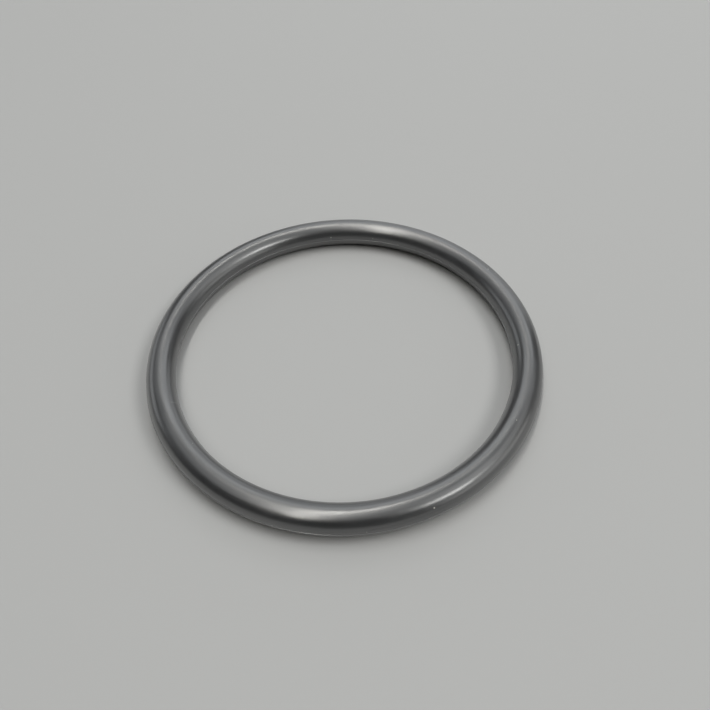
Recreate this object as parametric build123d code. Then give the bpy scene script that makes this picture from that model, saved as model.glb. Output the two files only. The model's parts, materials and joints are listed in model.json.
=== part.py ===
from build123d import *

import os

# A moulded rubber O-ring: one solid ring of round section.
#
# The ring lies flat in the XY plane, with its axis on +Z and its origin at its centre, half way up
# the section. It is compression moulded between two plates that meet at Z = 0, so a thin rib of
# trimmed flash runs round it on that plane, on the inside and on the outside.

# Driving dimensions, in millimetres.
INNER_DIAMETER = 62.87  # across the hole, between the round flanks, flash left out
SECTION_DIAMETER = 5.33  # of the round section
FLASH_HEIGHT = 0.08  # how far the trimmed flash stands out of the round section
FLASH_THICKNESS = 0.12  # across the flash, along Z
FLASH_CORNER = 0.03  # rounding of the flash's two trimmed corners

# Worked out from them.
SECTION_RADIUS = SECTION_DIAMETER / 2
CENTRELINE_RADIUS = INNER_DIAMETER / 2 + SECTION_RADIUS
FLASH_REACH = SECTION_RADIUS + FLASH_HEIGHT  # from the section's centre to the flash's crest

# The corner's rounding always leaves a land on the crest, and never reaches the round flank.
WIDEST_SHARE = 0.4
TALLEST_SHARE = 0.9
FLASH_ROUNDING = min(
    FLASH_CORNER,
    WIDEST_SHARE * FLASH_THICKNESS,
    TALLEST_SHARE * FLASH_HEIGHT,
)


def ring_section():
    """The section at +X: a full circle with the flash rib standing out on both sides of it."""
    with BuildSketch(Plane.XZ) as section:
        with Locations((CENTRELINE_RADIUS, 0)):
            Rectangle(2 * FLASH_REACH, FLASH_THICKNESS)
            crest_corners = section.vertices()
            fillet(crest_corners, radius=FLASH_ROUNDING)
            Circle(SECTION_RADIUS)
    return section.sketch


def o_ring():
    """The section turned once round the ring's axis."""
    return revolve(ring_section(), axis=Axis.Z, revolution_arc=360)


os.makedirs("parts", exist_ok=True)
export_step(o_ring(), "parts/o_ring.step")
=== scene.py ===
import json
import math

import bmesh
import bpy
from mathutils import Matrix, Vector, noise


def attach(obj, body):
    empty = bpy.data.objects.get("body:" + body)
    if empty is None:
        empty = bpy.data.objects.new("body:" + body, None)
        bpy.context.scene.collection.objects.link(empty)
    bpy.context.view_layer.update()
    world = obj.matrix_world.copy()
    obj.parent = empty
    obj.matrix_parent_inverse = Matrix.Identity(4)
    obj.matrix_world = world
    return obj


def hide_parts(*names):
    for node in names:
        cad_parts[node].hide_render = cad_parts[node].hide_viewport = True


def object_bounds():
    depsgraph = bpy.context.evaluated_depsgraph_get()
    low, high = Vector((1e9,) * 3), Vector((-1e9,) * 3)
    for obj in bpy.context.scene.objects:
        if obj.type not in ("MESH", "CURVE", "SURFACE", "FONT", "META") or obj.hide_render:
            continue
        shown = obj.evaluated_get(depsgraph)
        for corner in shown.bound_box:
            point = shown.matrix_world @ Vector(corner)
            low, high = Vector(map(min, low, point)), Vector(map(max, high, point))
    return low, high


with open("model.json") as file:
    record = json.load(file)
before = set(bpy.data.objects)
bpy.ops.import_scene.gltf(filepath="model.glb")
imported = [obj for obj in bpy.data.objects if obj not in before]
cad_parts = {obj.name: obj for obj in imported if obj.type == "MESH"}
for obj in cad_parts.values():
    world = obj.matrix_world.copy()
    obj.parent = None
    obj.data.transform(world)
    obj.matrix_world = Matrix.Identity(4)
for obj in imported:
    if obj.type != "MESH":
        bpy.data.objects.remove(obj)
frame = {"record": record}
cad_low, cad_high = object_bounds()

MM = 0.001

# ---------------------------------------------------------------- sizes, from the frame
# The ring lies flat, with its axis on +Z and its centre at the origin. A place on its skin is
# given by two angles: `around`, anticlockwise from +X seen from above, and `section`, which is 0
# on the outer edge, 90 degrees on top and 180 on the inner edge.
MOUNTS = {mount["name"]: mount for mount in frame["record"]["mounts"]}
INNER_CREST = MOUNTS["inner_seat"]["dims"]["r_mm"] * MM
OUTER_CREST = MOUNTS["outer_seat"]["dims"]["r_mm"] * MM
CENTRELINE = (INNER_CREST + OUTER_CREST) / 2  # radius of the section's centre
SECTION = cad_high.z  # radius of the round section
FLASH_REACH = cad_high.x - CENTRELINE  # from the section's centre to the flash's crest

# ---------------------------------------------------------------- sizes of the ring's own detail
FLASH_THICKNESS = 0.12 * MM  # of the trimmed rib on the parting line
FLASH_CORNER = 0.03 * MM  # rounding of its trimmed corners
FLASH_ROOT = 0.02 * MM  # the small hollow where it meets the round flank
SHORTEST_FLASH = 0.25  # where it was trimmed closest, as a share of its full height
USUAL_FLASH = 0.72  # the share of its full height that trimming mostly leaves
TORN_BACK = 2.4  # how sharply it drops to its shortest where it tore
WAVINESS = 0.010 * MM  # how far the moulded skin is from a true torus
STEPS_AROUND = 900
STEPS_PER_FLANK = 37  # over the top, from the outer rib's root to the inner one's
STEPS_PER_CORNER = 4  # for the crest's corner, and again for the hollow at the root


def on_skin(around, section):
    """The point on the round skin at these two angles, in degrees."""
    out = CENTRELINE + SECTION * math.cos(math.radians(section))
    turn = math.radians(around)
    up = SECTION * math.sin(math.radians(section))
    return Vector((out * math.cos(turn), out * math.sin(turn), up))


# ---------------------------------------------------------------- the ring's mesh
def flash_half():
    """The upper half of the flash rib as (height above the parting line, share of the rib's
    height), from the crest's middle out to the foot of the hollow at its root."""
    wall = FLASH_THICKNESS / 2
    full = FLASH_REACH - SECTION
    steps = [(0.0, 1.0)]
    for step in range(STEPS_PER_CORNER):
        angle = math.pi / 2 * step / (STEPS_PER_CORNER - 1)
        up = wall - FLASH_CORNER + FLASH_CORNER * math.sin(angle)
        steps.append((up, 1 - FLASH_CORNER * (1 - math.cos(angle)) / full))
    for step in range(STEPS_PER_CORNER):
        angle = math.pi / 2 * step / (STEPS_PER_CORNER - 1)
        up = wall + FLASH_ROOT * (1 - math.cos(angle))
        steps.append((up, FLASH_ROOT * (1 - math.sin(angle)) / full))
    return steps


def ring_profile():
    """The section's outline, anticlockwise from the outer crest, as (cosine, sine, rib): the
    point on a unit circle, and the share of the flash's height that stands out there."""
    half = flash_half()
    outline = []
    for up, rib in half:
        sine = up / SECTION
        outline.append((math.sqrt(1 - sine * sine), sine, rib))
    root = math.asin(half[-1][0] / SECTION)
    for step in range(1, STEPS_PER_FLANK):
        angle = root + (math.pi - 2 * root) * step / STEPS_PER_FLANK
        outline.append((math.cos(angle), math.sin(angle), 0.0))
    for up, rib in reversed(half):
        sine = up / SECTION
        outline.append((-math.sqrt(1 - sine * sine), sine, rib))
    lower = [(cosine, -sine, rib) for cosine, sine, rib in reversed(outline[1:-1])]
    return outline + lower


def round_noise(turn, seed, length):
    """Smooth noise from -1 to 1 along the ring, which meets itself after one turn."""
    radius = CENTRELINE / length
    return noise.noise(Vector((radius * math.cos(turn), radius * math.sin(turn), seed)))


def flash_height(turn, seed):
    """The share of its full height that the flash keeps after trimming, at one place."""
    long_wave = round_noise(turn, seed, 11 * MM)
    short_wave = round_noise(turn, seed + 7, 1.4 * MM)
    fray = round_noise(turn, seed + 13, 0.45 * MM)
    share = USUAL_FLASH + 0.32 * long_wave + 0.22 * short_wave + 0.16 * fray
    torn = max(0.0, round_noise(turn, seed + 29, 3.1 * MM) - 0.42)
    return min(1.0, max(SHORTEST_FLASH, share - TORN_BACK * torn))


def skin_wave(cosine, sine, turn):
    """How far the moulded skin lies inside the true torus, in metres, never outside it."""
    out = CENTRELINE + SECTION * cosine
    place = Vector((out * math.cos(turn), out * math.sin(turn), SECTION * sine))
    wide = noise.noise(place / (6.5 * MM))
    close = noise.noise(place / (2.2 * MM) + Vector((5, 3, 1)))
    return WAVINESS * (0.5 * wide + 0.25 * close - 0.75)


def ring_mesh():
    """The moulded ring: the outline above swept once round, one closed skin of quads."""
    outline = ring_profile()
    full = FLASH_REACH - SECTION
    skin = bmesh.new()
    rings = []
    for step in range(STEPS_AROUND):
        turn = 2 * math.pi * step / STEPS_AROUND
        kept = {1: flash_height(turn, 2.0), -1: flash_height(turn, 41.0)}
        ring = []
        for cosine, sine, rib in outline:
            side = 1 if cosine > 0 else -1
            radius = SECTION + (skin_wave(cosine, sine, turn) if rib == 0 else 0)
            crest = CENTRELINE + side * (SECTION + full * kept[side])
            out = CENTRELINE + radius * cosine
            out += rib * (crest - out)
            place = (out * math.cos(turn), out * math.sin(turn), radius * sine)
            ring.append(skin.verts.new(place))
        rings.append(ring)
    count = len(outline)
    for step, ring in enumerate(rings):
        following = rings[(step + 1) % STEPS_AROUND]
        for at in range(count):
            after = (at + 1) % count
            face = skin.faces.new((ring[at], following[at], following[after], ring[after]))
            face.smooth = True
    skin.normal_update()
    mesh = bpy.data.meshes.new("moulded_ring")
    skin.to_mesh(mesh)
    skin.free()
    return mesh


# ---------------------------------------------------------------- shader arithmetic
class Field:
    """A value that changes over a surface. Python's operators add Math nodes to its tree."""

    def __init__(self, tree, socket=None):
        self.tree = tree
        self.socket = socket

    def node(self, kind, settings, sockets, output=0):
        """Adds any node: its settings first, then its sockets, which take values or fields."""
        made = self.tree.nodes.new("ShaderNode" + kind)
        for name, value in settings.items():
            setattr(made, name, value)
        for name, value in sockets.items():
            if isinstance(value, Field):
                self.tree.links.new(value.socket, made.inputs[name])
            else:
                made.inputs[name].default_value = value
        return Field(self.tree, made.outputs[output])

    def maths(self, operation, *values):
        return self.node("Math", {"operation": operation}, dict(enumerate(values)))

    def __add__(self, other):
        return self.maths("ADD", self, other)

    def __radd__(self, other):
        return self.maths("ADD", other, self)

    def __sub__(self, other):
        return self.maths("SUBTRACT", self, other)

    def __rsub__(self, other):
        return self.maths("SUBTRACT", other, self)

    def __mul__(self, other):
        return self.maths("MULTIPLY", self, other)

    def __rmul__(self, other):
        return self.maths("MULTIPLY", other, self)

    def __truediv__(self, other):
        return self.maths("DIVIDE", self, other)

    def __pow__(self, other):
        return self.maths("POWER", self, other)

    def most(self, other):
        return self.maths("MAXIMUM", self, other)

    def size(self):
        return self.maths("ABSOLUTE", self)

    def between(self, low, high):
        """0 below `low`, 1 above `high` and smooth between them; it falls if low > high."""
        ends = {"Value": self, "From Min": min(low, high), "From Max": max(low, high)}
        ends["To Min"] = 0.0 if low < high else 1.0
        ends["To Max"] = 1.0 - ends["To Min"]
        return self.node("MapRange", {"interpolation_type": "SMOOTHSTEP"}, ends)

    def blend(self, low, high):
        """The colour `low` where this is 0 and `high` where it is 1."""
        ends = {"Factor": self, 6: low, 7: high}
        return self.node("Mix", {"data_type": "RGBA"}, ends, 2)


class RingPlaces:
    """Where a point of the ring's skin is, as fields, and patterns that follow the ring."""

    def __init__(self, tree):
        start = Field(tree)
        self.place = start.node("TexCoord", {}, {}, 3)
        apart = start.node("SeparateXYZ", {}, {"Vector": self.place})
        outputs = apart.socket.node.outputs
        x, y, z = (Field(tree, outputs[at]) for at in range(3))
        radius = (x * x + y * y) ** 0.5
        self.east = x / radius
        self.north = y / radius
        self.out = (radius - CENTRELINE) / SECTION
        self.up = z / SECTION
        self.height = z

    def grain(self, length, width, detail=2.0, roughness=0.5, seed=0.0):
        """Noise from 0 to 1 whose grains are about this long round the ring and this wide
        across its section. It meets itself both ways, so it has no seam."""
        along = CENTRELINE / length
        across = SECTION / width
        where = self.place.node(
            "CombineXYZ",
            {},
            {"X": self.east * along + seed, "Y": self.north * along, "Z": self.out * across},
        )
        sockets = {"Vector": where, "W": self.up * across + seed, "Scale": 1.0}
        sockets |= {"Detail": detail, "Roughness": roughness}
        return self.place.node("TexNoise", {"noise_dimensions": "4D"}, sockets)

    def speckle(self, size, detail=1.0):
        """Even noise from 0 to 1 with grains of this size."""
        sockets = {"Vector": self.place, "Scale": 1 / size, "Detail": detail}
        return self.place.node("TexNoise", {}, sockets)

    def scuff(self, around, section, reach, width):
        """1 along a fine mark that crosses the ring at `around`, this many degrees either side
        of `section` and this far either side of its line, and 0 off it."""
        turn = math.radians(around)
        tilt = math.radians(section)
        ahead = self.east * math.cos(turn) + self.north * math.sin(turn)
        aside = (self.north * math.cos(turn) - self.east * math.sin(turn)).size()
        facing = self.out * math.cos(tilt) + self.up * math.sin(tilt)
        end = math.cos(math.radians(reach))
        on_line = (aside * CENTRELINE).between(width, width * 0.3)
        return on_line * facing.between(end, (1 + end) / 2) * ahead.between(0.0, 0.5)

    def fleck(self, around, section, size):
        """1 on a small rough-edged fleck of this radius, and 0 off it."""
        middle = on_skin(around, section)
        gap = self.place.node(
            "VectorMath", {"operation": "DISTANCE"}, {0: self.place, 1: middle}, 1
        )
        ragged = gap + (self.speckle(size * 0.8) - 0.5) * size
        return ragged.between(size, size * 0.5)


# ---------------------------------------------------------------- materials
def new_material(name):
    """An empty material with a Principled surface: (material, tree, surface)."""
    material = bpy.data.materials.new(name)
    material.use_nodes = True
    tree = material.node_tree
    return material, tree, tree.nodes["Principled BSDF"]


def connect(field, surface, name):
    field.tree.links.new(field.socket, surface.inputs[name])


CLEAN_BLACK = (0.009, 0.0093, 0.010, 1)
BLOOMED = (0.017, 0.0177, 0.019, 1)  # where wax has come to the surface
# The trimmed flash's own duller grey, made lighter still as a painted highlight along the
# parting line's edge.
TRIMMED_AND_PAINTED_HIGHLIGHT = (0.085, 0.086, 0.088, 1)
SCUFFED = (0.16, 0.16, 0.16, 1)
LINT = (0.42, 0.41, 0.38, 1)

# Both are above nitrile rubber's own 1.5 to 1.6, so that its sheen shows under a plain light.
RUBBER_IOR = 2.0
BLOOM_IOR = 1.7  # of the thin waxy film on the skin

# The height of each pattern in the skin's relief.
STREAK_RELIEF = 0.0065 * MM
FINE_RELIEF = 0.0024 * MM
FLOW_RELIEF = 0.008 * MM
PORE_RELIEF = 0.0008 * MM
DUST_RELIEF = 0.025 * MM

# Lint and dust that lie on the ring: (around, section, radius in millimetres).
DUST = (
    (30.0, 78, 0.13),
    (76.0, 165, 0.10),
    (92.5, 163, 0.16),
    (217.0, 120, 0.08),
    (273.0, 10, 0.09),
    (290.5, 39, 0.17),
    (326.0, 86, 0.11),
    (356.0, 134, 0.14),
)

# Faint marks across the skin: (around, section, degrees either side, half width in millimetres).
SCUFFS = (
    (92.5, 174, 12, 0.10),
    (199.5, 135, 16, 0.12),
)


def black_rubber():
    """Satin black rubber: flow streaks round the ring, patches of bloom, a duller trimmed flash
    whose lighter grey is partly a painted highlight along the parting line, two faint scuffs and
    a few specks of dust."""
    material, tree, surface = new_material("black_rubber")
    ring = RingPlaces(tree)

    streaks = ring.grain(9 * MM, 0.22 * MM, detail=3.0, roughness=0.6)
    fine = ring.grain(14 * MM, 0.09 * MM, detail=2.0, seed=5.0)
    flow = ring.grain(26 * MM, 0.9 * MM, detail=2.0, seed=11.0)
    bloom = ring.grain(8 * MM, 3.5 * MM, detail=3.0, seed=23.0).between(0.35, 0.72)
    pores = ring.speckle(0.09 * MM, detail=2.0)
    flash_edge = FLASH_THICKNESS / 2
    on_flash = ring.height.size().between(flash_edge * 1.24, flash_edge * 0.96)

    dust = None
    for around, section, size in DUST:
        speck = ring.fleck(around, section, size * MM)
        dust = speck if dust is None else dust.most(speck)
    scuffed = None
    for around, section, reach, width in SCUFFS:
        mark = ring.scuff(around, section, reach, width * MM)
        scuffed = mark if scuffed is None else scuffed.most(mark)

    skin = bloom.blend(CLEAN_BLACK, BLOOMED)
    # The flash's colour: partly its duller cut face, partly a painted highlight where its edge
    # catches light.
    trimmed = on_flash.blend(skin, TRIMMED_AND_PAINTED_HIGHLIGHT)
    marked = (scuffed * 0.5).blend(trimmed, SCUFFED)
    connect(dust.blend(marked, LINT), surface, "Base Color")

    dull = 0.32 + bloom * 0.06 + (streaks - 0.5) * 0.16 + (flow - 0.5) * 0.10
    connect(dull + on_flash * 0.2 + dust * 0.4 + scuffed * 0.1, surface, "Roughness")
    surface.inputs["IOR"].default_value = RUBBER_IOR
    gloss = 0.74 + (fine - 0.5) * 1.1 + (streaks - 0.5) * 0.9 - bloom * 0.2
    connect(gloss.between(0.0, 1.0), surface, "Coat Weight")
    surface.inputs["Coat Roughness"].default_value = 0.22
    surface.inputs["Coat IOR"].default_value = BLOOM_IOR

    relief = streaks * STREAK_RELIEF + fine * FINE_RELIEF + flow * FLOW_RELIEF
    relief = relief + pores * PORE_RELIEF + dust * DUST_RELIEF
    bump = relief.node("Bump", {}, {"Height": relief, "Distance": 1.0, "Strength": 1.0})
    connect(bump, surface, "Normal")
    return material


def pale_floor():
    """A plain pale grey floor and wall."""
    material, _, surface = new_material("pale_floor")
    surface.inputs["Base Color"].default_value = (0.38, 0.38, 0.376, 1)
    surface.inputs["Roughness"].default_value = 0.7
    return material


# ---------------------------------------------------------------- pieces
ring = bpy.data.objects.new("rubber_o_ring", ring_mesh())
bpy.context.scene.collection.objects.link(ring)
ring.data.materials.append(black_rubber())
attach(ring, "root")
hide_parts("o_ring")

# The floor's sizes are in metres.
FLOOR_RADIUS = 4.2
COVE = 0.9  # radius of the curve where the floor turns up into the wall
WALL_TOP = 3.0
STEPS_ROUND_FLOOR = 96
STEPS_UP_COVE = 12


def floor_and_cove():
    """A round floor that curves up into a plain wall all round."""
    outline = []
    for step in range(STEPS_UP_COVE + 1):
        angle = math.pi / 2 * step / STEPS_UP_COVE
        across = FLOOR_RADIUS - COVE + COVE * math.sin(angle)
        outline.append((across, cad_low.z + COVE * (1 - math.cos(angle))))
    outline.append((FLOOR_RADIUS, WALL_TOP))
    skin = bmesh.new()
    turns = [2 * math.pi * step / STEPS_ROUND_FLOOR for step in range(STEPS_ROUND_FLOOR)]
    rings = [
        [skin.verts.new((out * math.cos(turn), out * math.sin(turn), up)) for turn in turns]
        for out, up in outline
    ]
    skin.faces.new(rings[0])
    for lower, upper in zip(rings, rings[1:]):
        for at in range(STEPS_ROUND_FLOOR):
            after = (at + 1) % STEPS_ROUND_FLOOR
            face = skin.faces.new((lower[at], upper[at], upper[after], lower[after]))
            face.smooth = True
    mesh = bpy.data.meshes.new("floor")
    skin.to_mesh(mesh)
    skin.free()
    return mesh


floor = bpy.data.objects.new("floor", floor_and_cove())
bpy.context.scene.collection.objects.link(floor)
floor.data.materials.append(pale_floor())


# ---------------------------------------------------------------- light
def softbox(name, place, aim, width, length, radiance, tint, turn=0.0):
    """A rectangular lamp at `place` that faces `aim`. Its radiance is what it shows of itself:
    1 is as bright as a white floor in plain light. `turn` is in radians."""
    lamp = bpy.data.lights.new(name, "AREA")
    lamp.shape = "RECTANGLE"
    lamp.size = width
    lamp.size_y = length
    lamp.color = tint
    lamp.energy = radiance * math.pi * width * length
    lit = bpy.data.objects.new(name, lamp)
    facing = (Vector(aim) - Vector(place)).to_track_quat("-Z", "Y").to_matrix()
    turned = facing @ Matrix.Rotation(turn, 3, "Z")
    lit.matrix_world = Matrix.Translation(place) @ turned.to_4x4()
    bpy.context.scene.collection.objects.link(lit)


def far(azimuth, elevation, distance):
    """The point this far from the origin in this direction, given in degrees."""
    level = distance * math.cos(math.radians(elevation))
    turn = math.radians(azimuth)
    up = distance * math.sin(math.radians(elevation))
    return Vector((level * math.cos(turn), level * math.sin(turn), up))


CEILING = 2.0  # metres above the ring
WARM = (1.0, 0.98, 0.93)
COOL = (0.95, 0.98, 1.0)
DAY = (1.0, 1.0, 0.98)


def ceiling_lamp(name, middle, width, length, radiance, tint, turn=0.0):
    """A softbox that lies in the ceiling and faces down. All its lengths are shares of the
    ceiling's height, and `turn` is in degrees, anticlockwise seen from above."""
    place = Vector((middle[0], middle[1], 1)) * CEILING
    below = Vector((place.x, place.y, 0))
    softbox(name, place, below, width * CEILING, length * CEILING, radiance, tint,
            turn=math.radians(turn))


def wall_lamp(name, azimuth, elevation, distance, width, length, radiance, tint):
    """A softbox that faces the ring from this direction, in degrees and metres."""
    place = far(azimuth, elevation, distance)
    softbox(name, place, (0, 0, 0), width, length, radiance, tint)


ceiling_lamp("tube", (-0.20, -0.08), 0.055, 1.5, 18.5, WARM, turn=-20)
ceiling_lamp("whole_ceiling", (0.15, 0.35), 2.3, 1.5, 0.35, COOL)
ceiling_lamp("overhead", (-0.06, 0.30), 0.7, 0.8, 2.3, COOL)
ceiling_lamp("skylight", (0.84, -0.33), 0.54, 0.95, 6.5, DAY, turn=-4)
wall_lamp("right_wall", 338, 17, 2.8, 2.8, 1.0, 0.9, DAY)
wall_lamp("left_wall", 148, 18, 2.8, 2.0, 1.0, 0.8, COOL)
wall_lamp("back_wall", 80, 38, 2.6, 2.6, 1.0, 1.3, COOL)
wall_lamp("back_shelf", 70, 13, 2.6, 2.6, 0.8, 0.8, COOL)

world = bpy.data.worlds.new("studio")
world.use_nodes = True
bpy.context.scene.world = world
air = world.node_tree.nodes["Background"]
air.inputs["Color"].default_value = (0.95, 0.97, 1.0, 1)
air.inputs["Strength"].default_value = 0.02

# ---------------------------------------------------------------- camera
VIEW_ELEVATION = math.radians(50.57)
VIEW_DISTANCE = 3.856 * CENTRELINE
LENS = 35.4  # millimetres, as is the sensor's width
SENSOR = 36.0
ROLL = math.radians(-3.302)
PAN = math.radians(-0.908)
TILT = math.radians(-0.242)

camera = bpy.data.objects.new("camera", bpy.data.cameras.new("camera"))
camera.data.sensor_width = SENSOR
camera.data.lens = LENS
camera.data.clip_start = 5 * MM
stand = Vector((0, -math.cos(VIEW_ELEVATION), math.sin(VIEW_ELEVATION))) * VIEW_DISTANCE
facing = (-stand).to_track_quat("-Z", "Y").to_matrix()
facing = facing @ Matrix.Rotation(ROLL, 3, "Z")
facing = facing @ Matrix.Rotation(PAN, 3, "Y") @ Matrix.Rotation(TILT, 3, "X")
camera.matrix_world = Matrix.Translation(stand) @ facing.to_4x4()
bpy.context.scene.collection.objects.link(camera)
bpy.context.scene.camera = camera
bpy.context.scene.view_settings.view_transform = "Standard"
